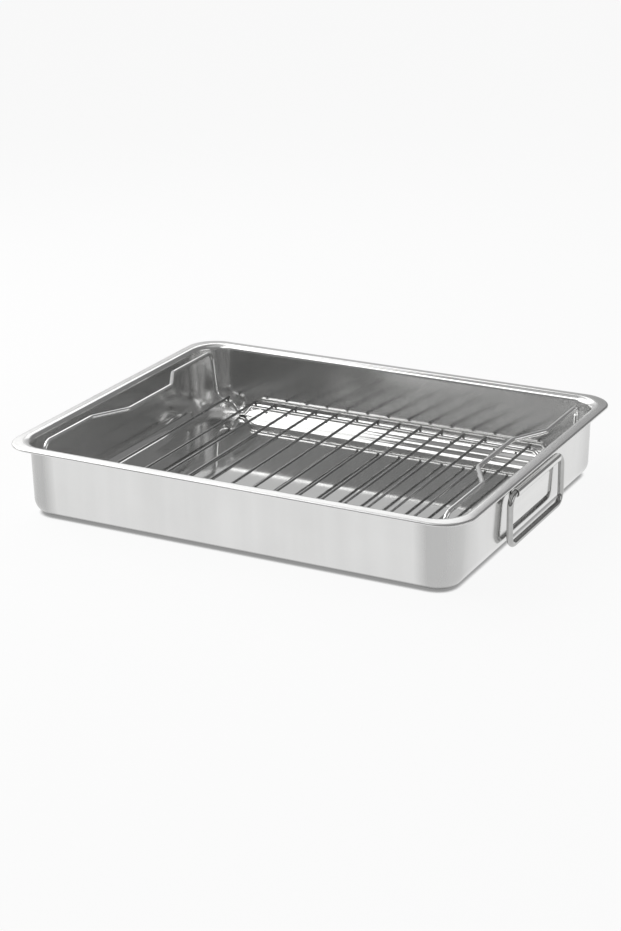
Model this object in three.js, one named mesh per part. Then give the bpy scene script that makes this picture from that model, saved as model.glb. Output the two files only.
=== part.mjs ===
// Roasting pan with a lift-out wire rack and two drop handles.
// Millimetres, +Z up. The origin is the centre of the base, on the surface that the pan stands on.
// +X runs along the pan's length and +Y towards its back.
import * as THREE from 'three';
import { mergeVertices } from 'three/addons/utils/BufferGeometryUtils.js';

// Pan, drawn from one sheet
const rimLength = 400;
const rimDepth = 320;
const panHeight = 62;
const panSheet = 0.8;
const flangeWidth = 11; // from the rim's edge to the outside of the wall
const lipHeight = 2.2; // the rim's turned-down edge
const rimCornerRadius = 26;
const wallCornerRadius = 24.5;
const baseCornerRadius = 8; // of the flat base
const wallDraft = 2; // how far the wall leans in from the rim to the base
const rimBendRadius = 5; // from the rim into the wall, on the inside
const baseBendRadius = 13; // from the wall into the base, on the outside

// Drop handles, one closed wire loop at each end
const handleWire = 5;
const handleSpan = 106; // between the middles of the legs
const handleCornerRadius = 9;
const handleBelowRim = 15; // from the top of the rim to the hinge axis
const handleGroundGap = 3.6; // under the hanging loop

// Handle brackets, a welded plate whose top is rolled round the loop
const bracketSheet = 0.8;
const bracketEndClearance = 1; // between the roll and the loop's bends
const bracketAboveBend = 4.5; // from the base bend to the plate's lower edge
const bracketFlatBelowAxis = 10; // where the plate leaves the wall
const bracketStandOff = 0.2; // how far the roll stands off the plate
const rollClearance = 0.35; // round the loop's top bar
const rollSweep = THREE.MathUtils.degToRad(300);

// Rack frame, one closed wire
const rackWire = 4;
const rackSideClearance = 8.3; // from the rod ends to the pan's wall
const rackEndClearance = 11.8; // from the grips to the pan's wall
const footDepth = 9.5; // of the dips that the rack stands on
const footFlat = 6;
const footSplay = 2; // how far the feet stand out past the bars
const footFall = 8.5; // run of the dip's inner slope
const footRise = 6; // run of the dip's outer slope
const footBendRadius = 4;
const gripBelowRim = 3;
const gripInset = 3; // how far the legs lean in towards the grips
const gripLean = 3; // how far the legs lean out towards the pan's ends
const gripBendRadius = 9;
const legBendRadius = 11;
const gripReach = 17; // how far the middle of the grip steps in
const gripBarLength = 68;
const gripStepRun = 31;
const gripStepRadius = 8;

// Rack rods, welded across the frame's bars
const rodWire = 2.3;
const innerRodCount = 14;
const rodOverhang = 2.5;
const outerRodInset = 11; // from the legs to the outer rods
const outerRodGap = 28.4; // between an outer rod and its neighbour
const footInset = 13; // from the outer rods to the feet

// Gap between pieces that are welded or rest on each other
const seatGap = 0.3;

// Facets
const cornerSteps = 8;
const bendSteps = 6;
const rimSteps = 4;
const rollSteps = 20;
const wireBendSteps = 4;
const handleBendSteps = 6;
const handleSides = 12;
const rackSides = 8;
const rodSides = 8;
const mergeTolerance = 1e-5;

// Finishes
const panSteel = { color: 0xb9bbbd, roughness: 0.3 };
const bracketSteel = { color: 0xc9cbcd, roughness: 0.15 };
const handleSteel = { color: 0xcfd0d2, roughness: 0.08 };
const rackSteel = { color: 0xa9abae, roughness: 0.15 };

// Places that several pieces share
const halfLength = rimLength / 2;
const halfDepth = rimDepth / 2;
const rimBendHeight = panHeight - rimBendRadius;
const innerBendRadius = baseBendRadius - panSheet;

function wallInset(height) {
  return flangeWidth + wallDraft * (1 - height / rimBendHeight);
}

const floorWallInset = wallInset(baseBendRadius) + panSheet;
const rollRadius = handleWire / 2 + rollClearance + bracketSheet / 2;
const axisHeight = panHeight - handleBelowRim;

function plateMiddle(height) {
  return halfLength - wallInset(height) + seatGap + bracketSheet / 2;
}

const axisReach = plateMiddle(axisHeight) + bracketStandOff + rollRadius;
const handleDrop = axisHeight - handleGroundGap - handleWire / 2;

const rodReach = halfDepth - floorWallInset - rackSideClearance;
const barReach = rodReach - rodOverhang;
const footReach = barReach + footSplay;
const footHeight = heightOverBend(footReach, rackWire / 2 + seatGap);
const barHeight = footHeight + footDepth;
const rodHeight = barHeight + rackWire / 2 + seatGap + rodWire / 2;
const gripHeight = panHeight - gripBelowRim;
const gripEnd = halfLength - floorWallInset - rackEndClearance;
const legEnd = gripEnd - gripLean;
const outerRodEnd = legEnd - outerRodInset;
const footEnd = outerRodEnd - footInset;
const innerRodEnd = outerRodEnd - outerRodGap;

// Height of a wire's middle over the base bend, at a reach from the pan's middle and with a standoff.
function heightOverBend(reach, standoff) {
  const bendCentre = halfDepth - floorWallInset - innerBendRadius;
  const outward = Math.max(0, reach - bendCentre);
  return baseBendRadius - Math.sqrt((innerBendRadius - standoff) ** 2 - outward ** 2);
}

// One closed mesh with its shared corners merged.
function welded(geometry) {
  geometry.deleteAttribute('normal');
  geometry.deleteAttribute('uv');
  const merged = mergeVertices(geometry, mergeTolerance);
  merged.computeVertexNormals();
  return merged;
}

function steelPiece(name, geometry, finish) {
  const material = new THREE.MeshStandardMaterial({ ...finish, metalness: 1 });
  const piece = new THREE.Mesh(geometry, material);
  piece.name = name;
  return piece;
}

// A level of the pan: how far in from the rim's edge it lies, its height and its corner radius.
function level(inset, height, radius) {
  return { inset, height, radius };
}

function quarterTurn(steps, makeLevel) {
  const levels = [];
  for (let step = 0; step <= steps; step += 1) {
    levels.push(makeLevel((Math.PI / 2) * (step / steps)));
  }
  return levels;
}

// Base bend from the flat base to the wall, with the given radius.
function baseBend(wallFace, radius) {
  return quarterTurn(bendSteps, (turn) => level(
    wallFace + radius * (1 - Math.sin(turn)),
    baseBendRadius - radius * Math.cos(turn),
    baseCornerRadius + radius * Math.sin(turn),
  ));
}

function flangeCornerRadius(inset) {
  return THREE.MathUtils.lerp(rimCornerRadius, wallCornerRadius, inset / flangeWidth);
}

// Rim bend from the wall to the flat flange, with the given radius.
function rimBend(radius, wallRadius) {
  const centre = flangeWidth + panSheet - rimBendRadius;
  return quarterTurn(rimSteps, (turn) => level(
    centre + radius * Math.cos(turn),
    rimBendHeight + radius * Math.sin(turn),
    THREE.MathUtils.lerp(flangeCornerRadius(centre), wallRadius, Math.cos(turn)),
  ));
}

function lipLevels() {
  const underside = panHeight - panSheet;
  const lipBottom = panHeight - lipHeight;
  return [
    level(panSheet, underside, flangeCornerRadius(panSheet)),
    level(panSheet, lipBottom, flangeCornerRadius(panSheet)),
    level(0, lipBottom, rimCornerRadius),
    level(0, underside, rimCornerRadius),
    level(panSheet, panHeight, flangeCornerRadius(panSheet)),
  ];
}

function panLevels() {
  const outside = baseBend(floorWallInset - panSheet, baseBendRadius);
  const underRim = rimBend(rimBendRadius - panSheet, wallCornerRadius);
  const overRim = rimBend(rimBendRadius, wallCornerRadius - panSheet).reverse();
  const inside = baseBend(floorWallInset, innerBendRadius).reverse();
  return [...outside, ...underRim, ...lipLevels(), ...overRim, ...inside];
}

// Rounded rectangle of one level, anticlockwise from above.
function levelRing({ inset, height, radius }) {
  const cornerX = halfLength - inset - radius;
  const cornerY = halfDepth - inset - radius;
  const signs = [[1, 1], [-1, 1], [-1, -1], [1, -1]];
  return signs.flatMap(([signX, signY], corner) => {
    const points = [];
    for (let step = 0; step <= cornerSteps; step += 1) {
      const turn = (Math.PI / 2) * (corner + step / cornerSteps);
      const x = signX * cornerX + radius * Math.cos(turn);
      const y = signY * cornerY + radius * Math.sin(turn);
      points.push(new THREE.Vector3(x, y, height));
    }
    return points;
  });
}

// Closed skin over a row of rings, with a flat cap on the first and the last.
function skinOver(rings) {
  const count = rings[0].length;
  const lastRing = (rings.length - 1) * count;
  const faces = [];
  for (let ring = 0; ring < rings.length - 1; ring += 1) {
    for (let point = 0; point < count; point += 1) {
      const here = ring * count + point;
      const beside = ring * count + ((point + 1) % count);
      faces.push(here, beside, beside + count, here, beside + count, here + count);
    }
  }
  for (let point = 1; point < count - 1; point += 1) {
    faces.push(0, point + 1, point);
    faces.push(lastRing, lastRing + point, lastRing + point + 1);
  }
  const geometry = new THREE.BufferGeometry().setFromPoints(rings.flat());
  geometry.setIndex(faces);
  return welded(geometry);
}

function panShell() {
  return steelPiece('pan_shell', skinOver(panLevels().map(levelRing)), panSteel);
}

// Closed wire centre line through corners that are each rounded with a radius of their own.
class WireLoop extends THREE.Curve {
  constructor(corners, steps) {
    super();
    const runs = corners.map(({ point }, place) => (
      new THREE.Vector3().subVectors(following(corners, place).point, point)
    ));
    const tangents = fittedTangents(corners, runs);
    this.stations = corners.flatMap(({ point }, place) => (
      wireBend(point, preceding(runs, place), runs[place], tangents[place], steps)
    ));
  }

  stationAt(share) {
    return this.stations[Math.round(share * this.stations.length) % this.stations.length];
  }

  getPointAt(share, target = new THREE.Vector3()) {
    return target.copy(this.stationAt(share).point);
  }

  getTangentAt(share, target = new THREE.Vector3()) {
    return target.copy(this.stationAt(share).tangent);
  }
}

function preceding(list, place) {
  return list[(place + list.length - 1) % list.length];
}

function following(list, place) {
  return list[(place + 1) % list.length];
}

// How far each bend reaches along the runs beside it, drawn in where a run is too short for two bends.
function fittedTangents(corners, runs) {
  const wanted = corners.map(({ radius }, place) => (
    radius * Math.tan(preceding(runs, place).angleTo(runs[place]) / 2)
  ));
  const room = runs.map((run, place) => (
    Math.min(1, run.length() / (wanted[place] + following(wanted, place)))
  ));
  return wanted.map((tangent, place) => tangent * Math.min(room[place], preceding(room, place)));
}

// Points and directions along one rounded corner of a wire.
function wireBend(corner, runIn, runOut, tangent, steps) {
  const inward = runIn.clone().normalize();
  const sweep = runIn.angleTo(runOut);
  const axis = new THREE.Vector3().crossVectors(runIn, runOut).normalize();
  const start = corner.clone().addScaledVector(inward, -tangent);
  const toCentre = new THREE.Vector3().crossVectors(axis, inward);
  toCentre.multiplyScalar(tangent / Math.tan(sweep / 2));
  const centre = start.add(toCentre);
  const stations = [];
  for (let step = 0; step <= steps; step += 1) {
    const turn = sweep * (step / steps);
    stations.push({
      point: centre.clone().sub(toCentre.clone().applyAxisAngle(axis, turn)),
      tangent: inward.clone().applyAxisAngle(axis, turn),
    });
  }
  return stations;
}

function wireGeometry(corners, diameter, sides, steps) {
  const loop = new WireLoop(corners, steps);
  return welded(new THREE.TubeGeometry(loop, loop.stations.length, diameter / 2, sides, true));
}

function wireCorner(x, y, z, radius) {
  return { point: new THREE.Vector3(x, y, z), radius };
}

// Outline of a bent sheet strip from its middle line.
function stripOutline(middle, sheet) {
  const sides = middle.map((point, place) => {
    const before = middle[Math.max(0, place - 1)];
    const after = middle[Math.min(middle.length - 1, place + 1)];
    const across = after.clone().sub(before).normalize().rotateAround(new THREE.Vector2(), Math.PI / 2);
    return across.multiplyScalar(sheet / 2);
  });
  const oneFace = middle.map((point, place) => point.clone().add(sides[place]));
  const otherFace = middle.map((point, place) => point.clone().sub(sides[place]));
  return new THREE.Shape([...oneFace, ...otherFace.reverse()]);
}

// Bracket's middle line: up the wall, away from it, and outward round the loop's top bar.
function bracketMiddle() {
  const lowerEdge = baseBendRadius + bracketAboveBend;
  const flatTop = axisHeight - bracketFlatBelowAxis;
  const middle = [
    new THREE.Vector2(plateMiddle(lowerEdge), lowerEdge),
    new THREE.Vector2(plateMiddle(flatTop), flatTop),
  ];
  for (let step = 0; step <= rollSteps; step += 1) {
    const turn = Math.PI - rollSweep * (step / rollSteps);
    const x = axisReach + rollRadius * Math.cos(turn);
    const z = axisHeight + rollRadius * Math.sin(turn);
    middle.push(new THREE.Vector2(x, z));
  }
  return middle;
}

function handleBracket(name) {
  const width = handleSpan - 2 * (handleCornerRadius + bracketEndClearance);
  const outline = stripOutline(bracketMiddle(), bracketSheet);
  const strip = new THREE.ExtrudeGeometry(outline, { depth: width, bevelEnabled: false });
  strip.rotateX(Math.PI / 2);
  strip.translate(0, width / 2, 0);
  return steelPiece(name, welded(strip), bracketSteel);
}

function dropHandle(name) {
  const leg = handleSpan / 2;
  const corners = [
    wireCorner(0, leg, 0, handleCornerRadius),
    wireCorner(0, -leg, 0, handleCornerRadius),
    wireCorner(0, -leg, -handleDrop, handleCornerRadius),
    wireCorner(0, leg, -handleDrop, handleCornerRadius),
  ];
  const loop = wireGeometry(corners, handleWire, handleSides, handleBendSteps);
  const handle = steelPiece(name, loop, handleSteel);
  handle.position.set(axisReach, 0, axisHeight);
  return handle;
}

// Bracket and handle of one end, turned about the pan's middle.
function handleEnd(side, turn) {
  const end = new THREE.Group();
  end.add(handleBracket(`${side}_handle_bracket`), dropHandle(`${side}_drop_handle`));
  end.rotation.z = turn;
  return end;
}

// Frame corners of one quarter of the rack, from the middle of its bar to the middle of its grip.
function frameQuarter(signX, signY) {
  const footStart = footEnd - footFlat / 2;
  const footStop = footEnd + footFlat / 2;
  const gripBar = gripBarLength / 2;
  return [
    [footStart - footFall, barReach, barHeight, footBendRadius],
    [footStart, footReach, footHeight, footBendRadius],
    [footStop, footReach, footHeight, footBendRadius],
    [footStop + footRise, barReach, barHeight, footBendRadius],
    [legEnd, barReach, barHeight, legBendRadius],
    [gripEnd, barReach - gripInset, gripHeight, gripBendRadius],
    [gripEnd, gripBar + gripStepRun, gripHeight, gripStepRadius],
    [gripEnd - gripReach, gripBar, gripHeight, gripStepRadius],
  ].map(([x, y, z, radius]) => wireCorner(signX * x, signY * y, z, radius));
}

function rackFrame() {
  const corners = [
    ...frameQuarter(1, 1),
    ...frameQuarter(1, -1).reverse(),
    ...frameQuarter(-1, -1),
    ...frameQuarter(-1, 1).reverse(),
  ];
  const wire = wireGeometry(corners, rackWire, rackSides, wireBendSteps);
  return steelPiece('rack_frame', wire, rackSteel);
}

function rodPlaces() {
  const pitch = (2 * innerRodEnd) / (innerRodCount - 1);
  const inner = Array.from({ length: innerRodCount }, (_, place) => place * pitch - innerRodEnd);
  return [-outerRodEnd, ...inner, outerRodEnd];
}

function rackRod(x, place) {
  const rod = new THREE.CylinderGeometry(rodWire / 2, rodWire / 2, 2 * rodReach, rodSides);
  const name = `rack_rod_${String(place + 1).padStart(2, '0')}`;
  const piece = steelPiece(name, welded(rod), rackSteel);
  piece.position.set(x, 0, rodHeight);
  return piece;
}

function rack() {
  const group = new THREE.Group();
  group.add(rackFrame(), ...rodPlaces().map(rackRod));
  return group;
}

const roastingPan = new THREE.Group();
roastingPan.add(panShell(), handleEnd('right', 0), handleEnd('left', Math.PI), rack());

export default roastingPan;
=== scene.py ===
from collections import namedtuple
from math import atan, cos, pi, radians, sin, tan

import bmesh
import bpy
from mathutils import Matrix, Vector


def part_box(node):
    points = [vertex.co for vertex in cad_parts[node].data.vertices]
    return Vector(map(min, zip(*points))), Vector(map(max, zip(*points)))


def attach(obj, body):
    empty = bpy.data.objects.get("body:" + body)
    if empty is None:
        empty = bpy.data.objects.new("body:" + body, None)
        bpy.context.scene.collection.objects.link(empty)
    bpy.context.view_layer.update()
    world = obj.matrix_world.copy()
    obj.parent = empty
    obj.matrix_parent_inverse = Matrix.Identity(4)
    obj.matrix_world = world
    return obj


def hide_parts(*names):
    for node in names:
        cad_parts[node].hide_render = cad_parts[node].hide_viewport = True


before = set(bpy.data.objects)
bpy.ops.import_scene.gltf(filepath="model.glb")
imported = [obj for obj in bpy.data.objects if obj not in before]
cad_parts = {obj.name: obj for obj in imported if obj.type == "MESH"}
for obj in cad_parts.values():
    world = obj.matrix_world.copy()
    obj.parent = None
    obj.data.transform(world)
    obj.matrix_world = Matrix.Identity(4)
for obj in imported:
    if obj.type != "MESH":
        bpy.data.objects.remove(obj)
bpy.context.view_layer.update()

# Pan, drawn from one sheet, in metres
half_length, half_depth, pan_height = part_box("pan_shell")[1]
SHEET = 0.0008
FLANGE_WIDTH = 0.011
LIP_HEIGHT = 0.0022
LIP_ROUND = 0.0016
RIM_CORNER = 0.026
WALL_CORNER = 0.0245
BASE_CORNER = 0.008
WALL_DRAFT = 0.002
RIM_BEND = 0.005
BASE_BEND = 0.013
FLANGE_DROOP = radians(3.5)

# Drop handles and their brackets
HANDLE_WIRE = 0.005
HANDLE_SPAN = 0.106
HANDLE_CORNER = 0.009
HANDLE_BELOW_RIM = 0.015
HANDLE_GROUND_GAP = 0.0036
BRACKET_SHEET = 0.0008
BRACKET_END_CLEARANCE = 0.001
BRACKET_ABOVE_BEND = 0.0045
BRACKET_FLAT_BELOW_AXIS = 0.010
BRACKET_STAND_OFF = 0.0002
ROLL_CLEARANCE = 0.00035
ROLL_SWEEP = radians(300)
BRACKET_EDGE = 0.0002
DENT_HEIGHT = 0.0345
DENT_SPREAD = 0.020
DENT_RINGS = (0.0017, 0.0013, 0.0009)
DENT_STEP = 0.00008

# Rack frame and rods
RACK_WIRE = 0.004
FOOT_DEPTH = 0.0095
FOOT_FLAT = 0.006
FOOT_SPLAY = 0.002
FOOT_FALL = 0.0085
FOOT_RISE = 0.006
FOOT_BEND = 0.004
GRIP_BELOW_RIM = 0.003
GRIP_INSET = 0.003
GRIP_LEAN = 0.003
GRIP_BEND = 0.009
LEG_BEND = 0.011
GRIP_REACH = 0.017
GRIP_BAR = 0.068
GRIP_STEP_RUN = 0.031
GRIP_STEP_BEND = 0.008
ROD_OVERHANG = 0.0025
FOOT_INSET = 0.013
ROD_END_ROUND = 0.0004
WELD_BEAD = (0.0014, 0.0015, 0.0006)
SEAT_GAP = 0.0003

# Smoothness
CORNER_STEPS = 24
BASE_STEPS = 40
RIM_STEPS = 14
LIP_STEPS = 8
WIRE_SIDES = 20
BEND_STEPS = 10
ROLL_STEPS = 32
PLATE_CUTS = 14
PLATE_EASING = 6
PLATE_EASING_SHARE = 0.5
BRACKET_CUTS = 95
BRACKET_EDGE_STEPS = 2
ROD_END_STEPS = 3
WELD_BEAD_DIVISIONS = 2
SHARP_ANGLE = radians(40)
MERGE = 1e-6
CORNER_SIGNS = ((1, 1), (-1, 1), (-1, -1), (1, -1))
SIDE_CUTS = (-0.76, -0.4, 0, 0.4, 0.76)
FLOOR_INSETS = (0.003, 0.010, 0.030, 0.070)

# Camera, as in the photograph
CAMERA_PLACE = Vector((0.7560, -1.4426, 0.6351))
CAMERA_YAW = radians(27.825)
CAMERA_PITCH = radians(20.589)
CAMERA_ROLL = radians(-0.737)
CAMERA_LENS = 82.155
SENSOR = 36

# Finishes: tones are linear colours, roughness and tones run from a low to a high, relief is in metres
Surface = namedtuple("Surface", "tones roughness stretch relief")
OUTSIDE = Surface(((0.68, 0.68, 0.675), (0.75, 0.75, 0.745)), (0.10, 0.13), (400, 12, 1), 1e-7)
RIM = Surface(((0.70, 0.70, 0.695), (0.80, 0.80, 0.795)), (0.24, 0.34), (40, 5000, 1), 1e-6)
INSIDE = Surface(((0.75, 0.75, 0.745), (0.82, 0.82, 0.815)), (0.0, 0.02), (1500, 30, 1), 6e-8)
FRAME = Surface(((0.80, 0.80, 0.795), (0.88, 0.88, 0.875)), (0.03, 0.06), (900, 900, 900), 5e-8)
ROD = Surface(((0.34, 0.34, 0.338), (0.44, 0.44, 0.437)), (0.08, 0.13), (3000, 60, 3000), 1e-7)
HANDLE = Surface(((0.42, 0.42, 0.416), (0.50, 0.50, 0.495)), (0.02, 0.04), (1200, 1200, 1200), 5e-8)
BRACKET = Surface(((0.72, 0.72, 0.713), (0.79, 0.79, 0.782)), (0.04, 0.07), (1500, 60, 1500), 5e-8)
RIM_ANISOTROPY = 0.6
# Outside corners: painted shade darkens their tone, standing in for a dark reflection, and their roughness
# is raised
CORNER_SHADE_AND_DULL_ALONG = (0.044, 0.033)
CORNER_SHADE_AND_DULL_ACROSS = (0.062, 0.013)
PAINTED_CORNER_SHADE_TONE = (0.7, 0.7, 0.7)
DRAWN_DULL = 0.16
SATIN_CLIMB = (0.008, 0.022, 0.03, 0.14)
CORNER_SATIN = 0.2
CORNER_REACH = (0.06, 0.03)

# Marks in the finishes
NOISE_RANGE = (0.3, 0.7)
LINE_SCALE = 1
LINE_DETAIL = 3
BAND_SCALE = 0.12
BAND_DETAIL = 2
CLOUD_SCALE = 22
CLOUD_DETAIL = 3
CLOUD_DULL = 0.03
SCRATCH_SCALE = 60
SCRATCH_DETAIL = 2
SCRATCH_MIDDLE = 0.5
SCRATCH_WIDTH = 0.006
SCRATCH_DULL = 0.06
SCRATCHED_SCALE = 66
SCRATCHED_DETAIL = 1
SCRATCHED_RANGE = (0.52, 0.62)

# Studio
FLOOR_REACH = 5
FLOOR_DROP = 0.0001
FLOOR_SIDES = 96
PAPER_TONE = (0.9, 0.9, 0.9)
PAPER_ROUGHNESS = 0.9
BACKGROUND_LIFT = 0.92
CONTACT_REACH = 0.006
CONTACT_SHADE = (0.25, 0.55, 0.3, 1)
BRIGHT_SIDE = (-0.94, 0.34, 0)
ROOM_TURN = (0.2, 0.8)
ROOM_DIM = 0.23
ROOM_BRIGHT = 0.6

# Soft lamps: azimuth from behind the pan towards its right, elevation, distance, size and brightness
SOFTBOXES = {
    "left_window": (radians(257), radians(33), 1.1, (0.85, 0.6), 1.6),
    "middle_window": (radians(292), radians(35), 1.15, (0.7, 0.5), 1.1),
    "back_left_window": (radians(329), radians(37), 1.2, (0.65, 0.42), 1.1),
    "high_front_left": (radians(222), radians(54), 1.2, (0.9, 0.5), 1.8),
    "high_left": (radians(285), radians(56), 1.2, (0.7, 0.4), 1.2),
    "right_box": (radians(92), radians(22), 1.3, (1.0, 0.32), 1.2),
    "ceiling": (radians(0), radians(90), 1.3, (0.8, 0.8), 0.3),
}

# Places that several pieces share
rim_bend_height = pan_height - RIM_BEND
lean = atan(WALL_DRAFT / rim_bend_height)


def wall_inset(height):
    """How far in from the rim's edge the outside of the wall lies at a height."""
    return FLANGE_WIDTH + WALL_DRAFT * (1 - height / rim_bend_height)


inner_bend = BASE_BEND - SHEET
base_bend_inset = wall_inset(BASE_BEND) + BASE_BEND / cos(lean)
rim_bend_inset = FLANGE_WIDTH - (RIM_BEND - SHEET) / cos(lean)
flange_run = rim_bend_inset - LIP_ROUND - (RIM_BEND - LIP_ROUND) * sin(FLANGE_DROOP)
lip_drop = (RIM_BEND - LIP_ROUND) * cos(FLANGE_DROOP) - flange_run * tan(FLANGE_DROOP)
lip_centre_height = rim_bend_height + lip_drop
roll_radius = HANDLE_WIRE / 2 + ROLL_CLEARANCE + BRACKET_SHEET / 2
axis_height = pan_height - HANDLE_BELOW_RIM
side_x = 2 * (half_length - FLANGE_WIDTH - WALL_CORNER)
side_y = 2 * (half_depth - FLANGE_WIDTH - WALL_CORNER)
corner_length = WALL_CORNER * pi / 2


def plate_middle(height):
    """How far out the middle of the bracket's sheet lies at a height."""
    return half_length - wall_inset(height) + SEAT_GAP + BRACKET_SHEET / 2


axis_reach = plate_middle(axis_height) + BRACKET_STAND_OFF + roll_radius
frame_low, frame_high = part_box("rack_frame")
rod_low, rod_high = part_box("rack_rod_16")
foot_height = frame_low.z + RACK_WIRE / 2
bar_height = foot_height + FOOT_DEPTH
bar_reach = rod_high.y - ROD_OVERHANG


def mixed(first, last, share):
    """A value part of the way from one to another."""
    return first + (last - first) * share


# Shaping helpers
def new_verts(made, key="geom"):
    return [part for part in made[key] if isinstance(part, bmesh.types.BMVert)]


def new_edges(made, key="geom"):
    return [part for part in made[key] if isinstance(part, bmesh.types.BMEdge)]


def drawn_out(shape, edges, way):
    """Extrudes a row of edges by a vector and gives the new row."""
    made = bmesh.ops.extrude_edge_only(shape, edges=edges)
    bmesh.ops.translate(shape, verts=new_verts(made), vec=way)
    return new_edges(made)


def shown(name, shape, body, nodes, finishes):
    """A finished piece in its place, riding on its body and standing for its CAD nodes."""
    mesh = bpy.data.meshes.new(name)
    shape.to_mesh(mesh)
    shape.free()
    mesh.shade_smooth()
    mesh.set_sharp_from_angle(angle=SHARP_ANGLE)
    for finish in finishes:
        mesh.materials.append(finish)
    piece = bpy.data.objects.new(name, mesh)
    bpy.context.scene.collection.objects.link(piece)
    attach(piece, body)
    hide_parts(*nodes)
    return piece


def closed(shape):
    """Joins what meets and turns every face outwards."""
    bmesh.ops.remove_doubles(shape, verts=shape.verts, dist=MERGE)
    bmesh.ops.recalc_face_normals(shape, faces=shape.faces)


# Pan
def base_bend(radius):
    """Levels from the flat base up to the wall."""
    levels = []
    for step in range(BASE_STEPS + 1):
        turn = mixed(-pi / 2, -lean, step / BASE_STEPS)
        inset = base_bend_inset - radius * cos(turn)
        height = BASE_BEND + radius * sin(turn)
        levels.append((inset, height, BASE_CORNER + radius * cos(turn)))
    return levels


def flange_corner(inset):
    return mixed(RIM_CORNER, WALL_CORNER, inset / FLANGE_WIDTH)


def rim_bend(radius, wall_corner):
    """Levels from the wall over to the flange."""
    levels = []
    for step in range(RIM_STEPS + 1):
        turn = mixed(pi - lean, pi / 2 - FLANGE_DROOP, step / RIM_STEPS)
        inset = rim_bend_inset - radius * cos(turn)
        height = rim_bend_height + radius * sin(turn)
        corner = mixed(flange_corner(rim_bend_inset), wall_corner, max(0, -cos(turn)))
        levels.append((inset, height, corner))
    return levels


def lip_bend(radius):
    """Levels over the rim's turned-down edge, from its side to its top."""
    levels = []
    for step in range(LIP_STEPS + 1):
        turn = mixed(0, pi / 2 - FLANGE_DROOP, step / LIP_STEPS)
        inset = LIP_ROUND - radius * cos(turn)
        height = lip_centre_height + radius * sin(turn)
        levels.append((inset, height, flange_corner(inset)))
    return levels


def floor_levels():
    """Levels of the flat floor, from the base bend to its middle."""
    return [(base_bend_inset + inset, SHEET, BASE_CORNER) for inset in FLOOR_INSETS]


def pan_levels():
    """The pan's levels in three zones: outside, rim and inside."""
    lip_bottom = pan_height - LIP_HEIGHT
    under_rim = rim_bend(RIM_BEND - SHEET, WALL_CORNER) + lip_bend(LIP_ROUND - SHEET)[::-1]
    outside = base_bend(BASE_BEND) + under_rim
    lip = [(SHEET, lip_bottom, flange_corner(SHEET)), (0, lip_bottom, RIM_CORNER)]
    over_rim = rim_bend(RIM_BEND, WALL_CORNER - SHEET)[::-1]
    rim = lip + lip_bend(LIP_ROUND) + over_rim[:1]
    inside = over_rim[1:] + base_bend(inner_bend)[::-1] + floor_levels()
    return [outside, rim, inside]


def corner_place(level, sign_x, sign_y):
    """Where a round corner of the given level lies, and how large it is."""
    inset, height, corner = level
    reach_x = sign_x * (half_length - inset - corner)
    reach_y = sign_y * (half_depth - inset - corner)
    return Matrix.Translation((reach_x, reach_y, height)) @ Matrix.Diagonal((corner, corner, 1, 1))


def in_corner(verts, sign_x, sign_y):
    return [vert for vert in verts if vert.co.x * sign_x > 0 and vert.co.y * sign_y > 0]


def first_ring(shell, level):
    """A circle whose quarters are moved apart into the corners of a level."""
    half_step = pi / 4 / CORNER_STEPS
    turned = Matrix.Rotation(half_step, 4, "Z")
    made = bmesh.ops.create_circle(
        shell, segments=4 * CORNER_STEPS, radius=1 / cos(half_step), matrix=turned)
    around = shell.verts.layers.float["around"]
    for place, vert in enumerate(made["verts"]):
        vert[around] = way_round(place)
    for signs in CORNER_SIGNS:
        quarter = in_corner(made["verts"], *signs)
        bmesh.ops.transform(shell, matrix=corner_place(level, *signs), verts=quarter)
    return shell.edges[:]


def way_round(place):
    """How far round the pan a point of the ring lies, with the seam in the middle of a corner."""
    corner, step = divmod(place - CORNER_STEPS // 2, CORNER_STEPS)
    corner %= 4
    sides = [side_y, side_x, side_y, side_x]
    start = corner * corner_length + sum(sides[:corner])
    past_side = sides[corner] if step >= CORNER_STEPS // 2 else 0
    return start + corner_length * step / CORNER_STEPS + past_side


def next_ring(shell, ring, level, next_level, zone):
    """Draws the ring of one level out to the next."""
    made = bmesh.ops.extrude_edge_only(shell, edges=ring)
    for signs in CORNER_SIGNS:
        move = corner_place(next_level, *signs) @ corner_place(level, *signs).inverted()
        bmesh.ops.transform(shell, matrix=move, verts=in_corner(new_verts(made), *signs))
    along = shell.verts.layers.float["along"]
    climb = (Vector(next_level[:2]) - Vector(level[:2])).length
    for vert in new_verts(made):
        vert[along] += climb
    for part in made["geom"]:
        if isinstance(part, bmesh.types.BMFace):
            part.material_index = zone
    return new_edges(made)


def wrap_grain(shell):
    """A map that follows the pan round and over its edge, for finishes with a grain."""
    around = shell.verts.layers.float["around"]
    along = shell.verts.layers.float["along"]
    grain = shell.loops.layers.uv.new("grain")
    full_turn = 2 * (side_x + side_y) + 4 * corner_length
    for face in shell.faces:
        turns = [loop.vert[around] for loop in face.loops]
        over_seam = max(turns) - min(turns) > full_turn / 2
        for loop, turn in zip(face.loops, turns):
            wrapped = turn + full_turn if over_seam and turn < full_turn / 2 else turn
            loop[grain].uv = (wrapped, loop.vert[along])


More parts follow.
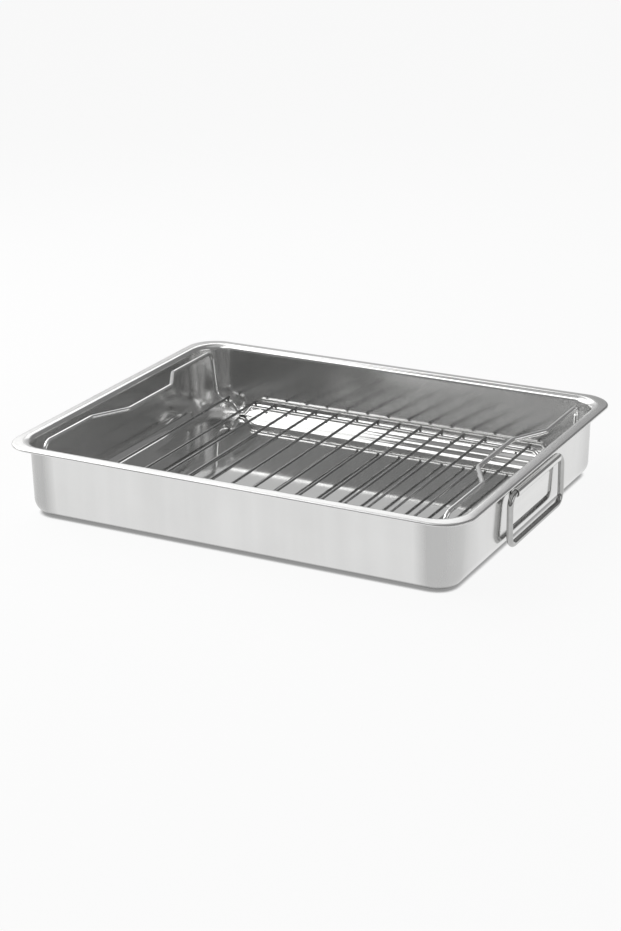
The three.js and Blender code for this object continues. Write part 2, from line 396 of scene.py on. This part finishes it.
def pan_sheet(finishes):
    """The pan, drawn ring by ring from its base over the rim to the middle of its floor."""
    shell = bmesh.new()
    shell.verts.layers.float.new("around")
    shell.verts.layers.float.new("along")
    zones = pan_levels()
    levels = [level for zone in zones for level in zone]
    zone_of = [place for place, zone in enumerate(zones) for level in zone]
    ring = first_ring(shell, levels[0])
    bottom = ring
    for level, next_level, zone in zip(levels, levels[1:], zone_of[1:]):
        ring = next_ring(shell, ring, level, next_level, zone)
    for edges, zone in ((bottom, zone_of[0]), (ring, zone_of[-1])):
        made = bmesh.ops.edgeloop_fill(shell, edges=edges)
        made["faces"][0].material_index = zone
    closed(shell)
    for share in SIDE_CUTS:
        for axis, reach in ((Vector((1, 0, 0)), half_length), (Vector((0, 1, 0)), half_depth)):
            everything = shell.verts[:] + shell.edges[:] + shell.faces[:]
            bmesh.ops.bisect_plane(shell, geom=everything, plane_co=axis * reach * share, plane_no=axis)
    wrap_grain(shell)
    return shown("pan_sheet", shell, "pan", ["pan_shell"], finishes)


# Wires
def fitted_tangents(bends, runs):
    """How far each bend reaches along its runs, drawn in where a run is too short for two bends."""
    count = len(runs)
    wanted = [bends[i] * tan(runs[i - 1].angle(runs[i]) / 2) for i in range(count)]
    room = [min(1, runs[i].length / (wanted[i] + wanted[(i + 1) % count])) for i in range(count)]
    return [wanted[i] * min(room[i - 1], room[i]) for i in range(count)]


def wire_ring(shape, place, way, thickness):
    """The edges of a wire's round section at a place."""
    turned = way.to_track_quat("Z", "Y").to_matrix().to_4x4()
    made = bmesh.ops.create_circle(
        shape, segments=WIRE_SIDES, radius=thickness / 2, matrix=Matrix.Translation(place) @ turned)
    return list(dict.fromkeys(edge for vert in made["verts"] for edge in vert.link_edges))


def bent_wire(shape, corners, bends, thickness):
    """A closed wire, drawn straight from bend to bend and spun round each bend's centre."""
    runs = [after - here for here, after in zip(corners, corners[1:] + corners[:1])]
    tangents = fitted_tangents(bends, runs)
    here = corners[-1] + runs[-1].normalized() * tangents[-1]
    ring = wire_ring(shape, here, runs[-1], thickness)
    for i, corner in enumerate(corners):
        way_in = runs[i - 1].normalized()
        way_out = runs[i].normalized()
        bend_start = corner - way_in * tangents[i]
        if (bend_start - here).length > MERGE:
            ring = drawn_out(shape, ring, bend_start - here)
        sweep = way_in.angle(way_out)
        axis = way_in.cross(way_out).normalized()
        centre = bend_start + axis.cross(way_in) * (tangents[i] / tan(sweep / 2))
        made = bmesh.ops.spin(
            shape, geom=ring, cent=centre, axis=axis, angle=sweep, steps=BEND_STEPS)
        ring = new_edges(made, "geom_last")
        here = corner + way_out * tangents[i]
    closed(shape)


def drop_handle(side, sign, finish):
    """A handle's closed loop, hanging against the wall."""
    loop = bmesh.new()
    leg = HANDLE_SPAN / 2
    bottom = HANDLE_GROUND_GAP + HANDLE_WIRE / 2
    reach = sign * axis_reach
    corners = [
        Vector((reach, leg, axis_height)),
        Vector((reach, -leg, axis_height)),
        Vector((reach, -leg, bottom)),
        Vector((reach, leg, bottom)),
    ]
    bent_wire(loop, corners, [HANDLE_CORNER] * 4, HANDLE_WIRE)
    nodes = [f"{side}_drop_handle"]
    return shown(f"{side}_handle_wire", loop, f"{side}_handle", nodes, [finish])


def frame_quarter(sign_x, sign_y):
    """Frame corners of one quarter of the rack, from the middle of its bar to the middle of its grip."""
    grip_height = pan_height - GRIP_BELOW_RIM
    grip_end = frame_high.x - RACK_WIRE / 2
    foot_end = (rod_low.x + rod_high.x) / 2 - FOOT_INSET
    foot_start = foot_end - FOOT_FLAT / 2
    foot_stop = foot_end + FOOT_FLAT / 2
    foot_reach = bar_reach + FOOT_SPLAY
    rows = [
        (foot_start - FOOT_FALL, bar_reach, bar_height, FOOT_BEND),
        (foot_start, foot_reach, foot_height, FOOT_BEND),
        (foot_stop, foot_reach, foot_height, FOOT_BEND),
        (foot_stop + FOOT_RISE, bar_reach, bar_height, FOOT_BEND),
        (grip_end - GRIP_LEAN, bar_reach, bar_height, LEG_BEND),
        (grip_end, bar_reach - GRIP_INSET, grip_height, GRIP_BEND),
        (grip_end, GRIP_BAR / 2 + GRIP_STEP_RUN, grip_height, GRIP_STEP_BEND),
        (grip_end - GRIP_REACH, GRIP_BAR / 2, grip_height, GRIP_STEP_BEND),
    ]
    return [(Vector((sign_x * x, sign_y * y, z)), bend) for x, y, z, bend in rows]


def rack_frame(finish):
    """The rack's frame, one closed wire of four like quarters."""
    wire = bmesh.new()
    rows = (
        frame_quarter(1, 1)
        + frame_quarter(1, -1)[::-1]
        + frame_quarter(-1, -1)
        + frame_quarter(-1, 1)[::-1]
    )
    bent_wire(wire, [row[0] for row in rows], [row[1] for row in rows], RACK_WIRE)
    return shown("rack_frame_wire", wire, "rack", ["rack_frame"], [finish])


def weld_bead(rod, reach_x, reach_y, rod_bottom):
    """The small bead that joins a rod to a bar of the frame."""
    bar_top = bar_height + RACK_WIRE / 2
    place = Matrix.Translation((reach_x, reach_y, (bar_top + rod_bottom) / 2))
    size = Matrix.Diagonal((*WELD_BEAD, 1))
    bmesh.ops.create_icosphere(rod, subdivisions=WELD_BEAD_DIVISIONS, radius=1, matrix=place @ size)


def rack_rod(node, finish):
    """A straight rod with rounded ends and its two weld beads."""
    low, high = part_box(node)
    middle = (low + high) / 2
    thick = (high.z - low.z) / 2
    rod = bmesh.new()
    along = Matrix.Rotation(pi / 2, 4, "X")
    bmesh.ops.create_cone(
        rod, cap_ends=True, segments=WIRE_SIDES, radius1=thick, radius2=thick,
        depth=high.y - low.y, matrix=Matrix.Translation(middle) @ along)
    rims = [edge for edge in rod.edges if abs(edge.verts[0].co.y - edge.verts[1].co.y) < MERGE]
    bmesh.ops.bevel(
        rod, geom=rims, offset=ROD_END_ROUND, segments=ROD_END_STEPS, profile=0.5, affect="EDGES",
        material=-1)
    for reach_y in (-bar_reach, bar_reach):
        weld_bead(rod, middle.x, reach_y, low.z)
    closed(rod)
    return shown(f"{node}_wire", rod, "rack", [node], [finish])


# Brackets
def bracket_profile(strip, half_width):
    """Plate, stand-off and roll as one row of edges at the bracket's front end."""
    low = BASE_BEND + BRACKET_ABOVE_BEND
    flat_top = axis_height - BRACKET_FLAT_BELOW_AXIS
    places = [
        (plate_middle(low), low),
        (plate_middle(flat_top), flat_top),
        (axis_reach - roll_radius, axis_height),
    ]
    verts = [strip.verts.new((reach, -half_width, height)) for reach, height in places]
    edges = [strip.edges.new(pair) for pair in zip(verts, verts[1:])]
    bmesh.ops.spin(
        strip, geom=verts[-1:], cent=(axis_reach, -half_width, axis_height), axis=(0, 1, 0),
        angle=ROLL_SWEEP, steps=ROLL_STEPS)
    bmesh.ops.subdivide_edges(strip, edges=edges, cuts=PLATE_CUTS)
    inner_side = [vert for vert in strip.verts if vert.co.x < axis_reach]
    below_roll = [vert for vert in inner_side if low + MERGE < vert.co.z < axis_height]
    for _ in range(PLATE_EASING):
        bmesh.ops.smooth_vert(strip, verts=below_roll, factor=PLATE_EASING_SHARE, use_axis_x=True)


def press_dent(strip, middle):
    """Presses a spot weld's shallow dent into the plate, ring by ring."""
    for radius in DENT_RINGS:
        near = [vert for vert in strip.verts if (vert.co - middle).length < radius]
        bmesh.ops.translate(strip, verts=near, vec=(-DENT_STEP, 0, 0))


def bracket(side, sign, finish):
    """A handle's bracket: its profile drawn across, dented, turned to its side and given its thickness."""
    strip = bmesh.new()
    half_width = HANDLE_SPAN / 2 - HANDLE_CORNER - BRACKET_END_CLEARANCE
    bracket_profile(strip, half_width)
    profile = strip.edges[:]
    drawn_out(strip, profile, Vector((0, 2 * half_width, 0)))
    across = [edge for edge in strip.edges if abs(edge.verts[0].co.y - edge.verts[1].co.y) > half_width]
    bmesh.ops.subdivide_edges(strip, edges=across, cuts=BRACKET_CUTS, use_grid_fill=True)
    for reach_y in (-DENT_SPREAD, DENT_SPREAD):
        press_dent(strip, Vector((plate_middle(DENT_HEIGHT), reach_y, DENT_HEIGHT)))
    if sign < 0:
        bmesh.ops.rotate(strip, verts=strip.verts, matrix=Matrix.Rotation(pi, 3, "Z"))
    bmesh.ops.recalc_face_normals(strip, faces=strip.faces)
    nodes = [f"{side}_handle_bracket"]
    piece = shown(f"{side}_bracket_sheet", strip, "pan", nodes, [finish])
    thick = piece.modifiers.new("sheet", "SOLIDIFY")
    thick.thickness = BRACKET_SHEET
    thick.offset = 0
    edge = piece.modifiers.new("edges", "BEVEL")
    edge.width = BRACKET_EDGE
    edge.segments = BRACKET_EDGE_STEPS
    return piece


# Finishes
def node_group(name, inputs, outputs):
    """An empty shader group with named sockets."""
    group = bpy.data.node_groups.new(name, "ShaderNodeTree")
    for label, kind in inputs:
        group.interface.new_socket(label, in_out="INPUT", socket_type=kind)
    for label, kind in outputs:
        group.interface.new_socket(label, in_out="OUTPUT", socket_type=kind)
    return group, group.nodes.new("NodeGroupInput"), group.nodes.new("NodeGroupOutput")


def noise(tree, place, scale, detail):
    """Soft noise at a place."""
    cloud = tree.nodes.new("ShaderNodeTexNoise")
    cloud.inputs["Scale"].default_value = scale
    cloud.inputs["Detail"].default_value = detail
    tree.links.new(place, cloud.inputs["Vector"])
    return cloud.outputs["Fac"]


def spread(tree, value, low, high, to_low, to_high):
    """Takes a value from one range to another."""
    step = tree.nodes.new("ShaderNodeMapRange")
    tree.links.new(value, step.inputs["Value"])
    for socket, number in zip(("From Min", "From Max", "To Min", "To Max"), (low, high, to_low, to_high)):
        step.inputs[socket].default_value = number
    return step.outputs["Result"]


def combined(tree, operation, first, second):
    """Two values or sockets, put together by one operation."""
    step = tree.nodes.new("ShaderNodeMath")
    step.operation = operation
    for socket, value in zip(step.inputs, (first, second)):
        if isinstance(value, (int, float)):
            socket.default_value = value
        else:
            tree.links.new(value, socket)
    return step.outputs[0]


def blended(tree, blend, share, first, second):
    """Two colours or sockets, mixed by a share."""
    mix = tree.nodes.new("ShaderNodeMix")
    mix.data_type = "RGBA"
    mix.blend_type = blend
    tree.links.new(share, mix.inputs["Factor"])
    for socket, colour in (("A", first), ("B", second)):
        if isinstance(colour, tuple):
            mix.inputs[socket].default_value = (*colour, 1)
        else:
            tree.links.new(colour, mix.inputs[socket])
    return mix.outputs["Result"]


def grain_group():
    """Fine lines of a brushed or drawn surface, and the broader bands among them."""
    group, given, made = node_group(
        "brushed_grain",
        [("Place", "NodeSocketVector"), ("Stretch", "NodeSocketVector")],
        [("Lines", "NodeSocketFloat"), ("Bands", "NodeSocketFloat")])
    stretched = group.nodes.new("ShaderNodeVectorMath")
    stretched.operation = "MULTIPLY"
    group.links.new(given.outputs["Place"], stretched.inputs[0])
    group.links.new(given.outputs["Stretch"], stretched.inputs[1])
    lines = noise(group, stretched.outputs[0], LINE_SCALE, LINE_DETAIL)
    bands = noise(group, stretched.outputs[0], BAND_SCALE, BAND_DETAIL)
    group.links.new(lines, made.inputs["Lines"])
    group.links.new(bands, made.inputs["Bands"])
    return group


def handling_group():
    """Soft clouds of handling, and thin scratches among them."""
    group, given, made = node_group(
        "handling_marks",
        [("Place", "NodeSocketVector")],
        [("Cloud", "NodeSocketFloat"), ("Scratch", "NodeSocketFloat")])
    place = given.outputs["Place"]
    cloud = noise(group, place, CLOUD_SCALE, CLOUD_DETAIL)
    bend = noise(group, place, SCRATCH_SCALE, SCRATCH_DETAIL)
    off_line = combined(group, "ABSOLUTE", combined(group, "SUBTRACT", bend, SCRATCH_MIDDLE), 0)
    thin = spread(group, off_line, 0, SCRATCH_WIDTH, 1, 0)
    scratched = noise(group, place, SCRATCHED_SCALE, SCRATCHED_DETAIL)
    few = spread(group, scratched, *SCRATCHED_RANGE, 0, 1)
    group.links.new(cloud, made.inputs["Cloud"])
    group.links.new(combined(group, "MULTIPLY", thin, few), made.inputs["Scratch"])
    return group


def placed(tree, group, place):
    """A group at work in a material, at a place."""
    node = tree.nodes.new("ShaderNodeGroup")
    node.node_tree = group
    tree.links.new(place, node.inputs["Place"])
    return node


def mapped_place(tree, uv_map):
    wrapped = tree.nodes.new("ShaderNodeUVMap")
    wrapped.uv_map = uv_map
    return wrapped.outputs["UV"]


def steel_tone(tree, tones, grain, marks):
    """A tone that wanders with the grain's bands and the clouds of handling."""
    bands = spread(tree, grain.outputs["Bands"], *NOISE_RANGE, 0, 1)
    cloud = spread(tree, marks.outputs["Cloud"], *NOISE_RANGE, 0, 1)
    mean = combined(tree, "MULTIPLY", combined(tree, "ADD", bands, cloud), 0.5)
    return blended(tree, "MIX", mean, *tones)


def steel_gloss(tree, roughness, grain, marks):
    """A roughness that follows the grain's lines, duller in scratches and clouds."""
    gloss = spread(tree, grain.outputs["Lines"], *NOISE_RANGE, *roughness)
    scratches = combined(tree, "MULTIPLY", marks.outputs["Scratch"], SCRATCH_DULL)
    clouds = spread(tree, marks.outputs["Cloud"], *NOISE_RANGE, 0, CLOUD_DULL)
    return combined(tree, "ADD", combined(tree, "ADD", gloss, scratches), clouds)


def steel_relief(tree, relief, grain):
    bump = tree.nodes.new("ShaderNodeBump")
    bump.inputs["Strength"].default_value = 1
    bump.inputs["Distance"].default_value = relief
    tree.links.new(grain.outputs["Lines"], bump.inputs["Height"])
    return bump.outputs["Normal"]


def steel(name, surface, uv_map=None):
    """Steel whose tone, gloss and fine relief follow its grain and its handling."""
    finish = bpy.data.materials.new(name)
    finish.use_nodes = True
    tree = finish.node_tree
    shader = tree.nodes["Principled BSDF"]
    shader.inputs["Metallic"].default_value = 1
    place = tree.nodes.new("ShaderNodeTexCoord").outputs["Object"]
    grain = placed(tree, brushed_grain, mapped_place(tree, uv_map) if uv_map else place)
    grain.inputs["Stretch"].default_value = surface.stretch
    marks = placed(tree, handling_marks, place)
    tree.links.new(steel_tone(tree, surface.tones, grain, marks), shader.inputs["Base Color"])
    tree.links.new(steel_gloss(tree, surface.roughness, grain, marks), shader.inputs["Roughness"])
    tree.links.new(steel_relief(tree, surface.relief, grain), shader.inputs["Normal"])
    return finish


def rim_finish():
    """Steel brushed along the rim."""
    finish = steel("rim_steel", RIM, "grain")
    tree = finish.node_tree
    shader = tree.nodes["Principled BSDF"]
    shader.inputs["Anisotropic"].default_value = RIM_ANISOTROPY
    along = tree.nodes.new("ShaderNodeTangent")
    along.direction_type = "UV_MAP"
    along.uv_map = "grain"
    tree.links.new(along.outputs[0], shader.inputs["Tangent"])
    return finish


def corner_share(tree, place, along, across):
    """How far into a corner of the pan a place lies, from its distances to the rim's ends and sides."""
    parts = tree.nodes.new("ShaderNodeSeparateXYZ")
    tree.links.new(place, parts.inputs[0])
    shares = []
    for axis, reach, (start, full) in (("X", half_length, along), ("Y", half_depth, across)):
        distance = combined(tree, "ABSOLUTE", parts.outputs[axis], 0)
        shares.append(spread(tree, distance, reach - start, reach - full, 0, 1))
    return combined(tree, "MULTIPLY", *shares)


def outside_finish():
    """Satin walls, duller where the corners were drawn, and darker there by painted shade that stands in
    for a dark reflection.
    """
    finish = steel("outside_steel", OUTSIDE, "grain")
    tree = finish.node_tree
    shader = tree.nodes["Principled BSDF"]
    tone = shader.inputs["Base Color"].links[0].from_socket
    gloss = shader.inputs["Roughness"].links[0].from_socket
    place = tree.nodes["Texture Coordinate"].outputs["Object"]
    drawn = corner_share(tree, place, CORNER_SHADE_AND_DULL_ALONG, CORNER_SHADE_AND_DULL_ACROSS)
    # Painted shade: the tone is multiplied darker into each corner, a painted dark reflection
    tree.links.new(blended(tree, "MULTIPLY", drawn, tone, PAINTED_CORNER_SHADE_TONE), shader.inputs["Base Color"])
    dulled = combined(tree, "ADD", gloss, combined(tree, "MULTIPLY", drawn, DRAWN_DULL))
    tree.links.new(dulled, shader.inputs["Roughness"])
    return finish


def inside_finish():
    """Bright on the floor and in the base bend, more satin up the walls."""
    finish = steel("inside_steel", INSIDE, "grain")
    tree = finish.node_tree
    shader = tree.nodes["Principled BSDF"]
    gloss = shader.inputs["Roughness"].links[0].from_socket
    place = tree.nodes["Texture Coordinate"].outputs["Object"]
    parts = tree.nodes.new("ShaderNodeSeparateXYZ")
    tree.links.new(place, parts.inputs[0])
    climb = spread(tree, parts.outputs["Z"], *SATIN_CLIMB)
    drawn = corner_share(tree, place, CORNER_REACH, CORNER_REACH)
    satin = combined(tree, "MAXIMUM", climb, combined(tree, "MULTIPLY", drawn, CORNER_SATIN))
    tree.links.new(combined(tree, "ADD", gloss, satin), shader.inputs["Roughness"])
    return finish


# Studio
def background_share(tree):
    """How white the paper is by itself: for the camera and for what the metal and glass show."""
    path = tree.nodes.new("ShaderNodeLightPath")
    seen = path.outputs["Is Camera Ray"]
    for ray in ("Is Glossy Ray", "Is Transmission Ray"):
        seen = combined(tree, "MAXIMUM", seen, path.outputs[ray])
    return combined(tree, "MULTIPLY", seen, BACKGROUND_LIFT)


def contact_glow(tree):
    """White that darkens close under the pan."""
    near = tree.nodes.new("ShaderNodeAmbientOcclusion")
    near.inputs["Distance"].default_value = CONTACT_REACH
    glow = tree.nodes.new("ShaderNodeEmission")
    tree.links.new(spread(tree, near.outputs["AO"], *CONTACT_SHADE), glow.inputs["Strength"])
    return glow.outputs[0]


def white_paper():
    """Matt white paper that keeps the pan's shadow."""
    paper = bpy.data.materials.new("white_paper")
    paper.use_nodes = True
    tree = paper.node_tree
    shader = tree.nodes["Principled BSDF"]
    shader.inputs["Base Color"].default_value = (*PAPER_TONE, 1)
    shader.inputs["Roughness"].default_value = PAPER_ROUGHNESS
    shader.inputs["Specular IOR Level"].default_value = 0
    mix = tree.nodes.new("ShaderNodeMixShader")
    tree.links.new(background_share(tree), mix.inputs["Fac"])
    tree.links.new(shader.outputs[0], mix.inputs[1])
    tree.links.new(contact_glow(tree), mix.inputs[2])
    tree.links.new(mix.outputs[0], tree.nodes["Material Output"].inputs["Surface"])
    return paper


def studio_floor():
    """A wide white table."""
    ground = bmesh.new()
    down = Matrix.Translation((0, 0, -FLOOR_DROP))
    bmesh.ops.create_circle(
        ground, cap_ends=True, segments=FLOOR_SIDES, radius=FLOOR_REACH, matrix=down)
    mesh = bpy.data.meshes.new("studio_floor")
    ground.to_mesh(mesh)
    ground.free()
    mesh.materials.append(white_paper())
    floor = bpy.data.objects.new("studio_floor", mesh)
    bpy.context.scene.collection.objects.link(floor)


def softbox(name, azimuth, elevation, distance, size, brightness):
    """A soft lamp that looks at the pan from a direction."""
    out = cos(elevation)
    place = Vector((sin(azimuth) * out, cos(azimuth) * out, sin(elevation))) * distance
    light = bpy.data.lights.new(name, "AREA")
    light.shape = "RECTANGLE"
    light.size, light.size_y = size
    light.energy = brightness * pi * size[0] * size[1]
    lamp = bpy.data.objects.new(name, light)
    lamp.location = place
    lamp.rotation_euler = (-place).to_track_quat("-Z", "Y").to_euler()
    bpy.context.scene.collection.objects.link(lamp)


def studio_world():
    """A room that is bright on the window side and dim on the other."""
    world = bpy.data.worlds.new("studio")
    world.use_nodes = True
    tree = world.node_tree
    place = tree.nodes.new("ShaderNodeTexCoord")
    towards = tree.nodes.new("ShaderNodeVectorMath")
    towards.operation = "DOT_PRODUCT"
    tree.links.new(place.outputs["Generated"], towards.inputs[0])
    towards.inputs[1].default_value = BRIGHT_SIDE
    level = spread(tree, towards.outputs["Value"], *ROOM_TURN, ROOM_DIM, ROOM_BRIGHT)
    level.node.interpolation_type = "SMOOTHSTEP"
    tree.links.new(level, tree.nodes["Background"].inputs["Color"])
    bpy.context.scene.world = world


def photograph_camera():
    """The camera where the photograph was taken from."""
    data = bpy.data.cameras.new("photograph")
    data.lens = CAMERA_LENS
    data.sensor_width = SENSOR
    camera = bpy.data.objects.new("photograph", data)
    turned = (
        Matrix.Rotation(CAMERA_YAW, 4, "Z")
        @ Matrix.Rotation(pi / 2 - CAMERA_PITCH, 4, "X")
        @ Matrix.Rotation(CAMERA_ROLL, 4, "Z")
    )
    camera.matrix_world = Matrix.Translation(CAMERA_PLACE) @ turned
    bpy.context.scene.collection.objects.link(camera)
    bpy.context.scene.camera = camera


photograph_camera()
brushed_grain = grain_group()
handling_marks = handling_group()
outside_steel = outside_finish()
frame_steel = steel("frame_steel", FRAME)
rod_steel = steel("rod_steel", ROD)
handle_steel = steel("handle_steel", HANDLE)
bracket_steel = steel("bracket_steel", BRACKET)
pan_sheet([outside_steel, rim_finish(), inside_finish()])
for side, sign in (("left", -1), ("right", 1)):
    drop_handle(side, sign, handle_steel)
    bracket(side, sign, bracket_steel)
rack_frame(frame_steel)
for node in sorted(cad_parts):
    if node.startswith("rack_rod"):
        rack_rod(node, rod_steel)

studio_floor()
studio_world()
for lamp_name, setting in SOFTBOXES.items():
    softbox(lamp_name, *setting)
bpy.context.scene.view_settings.view_transform = "Standard"
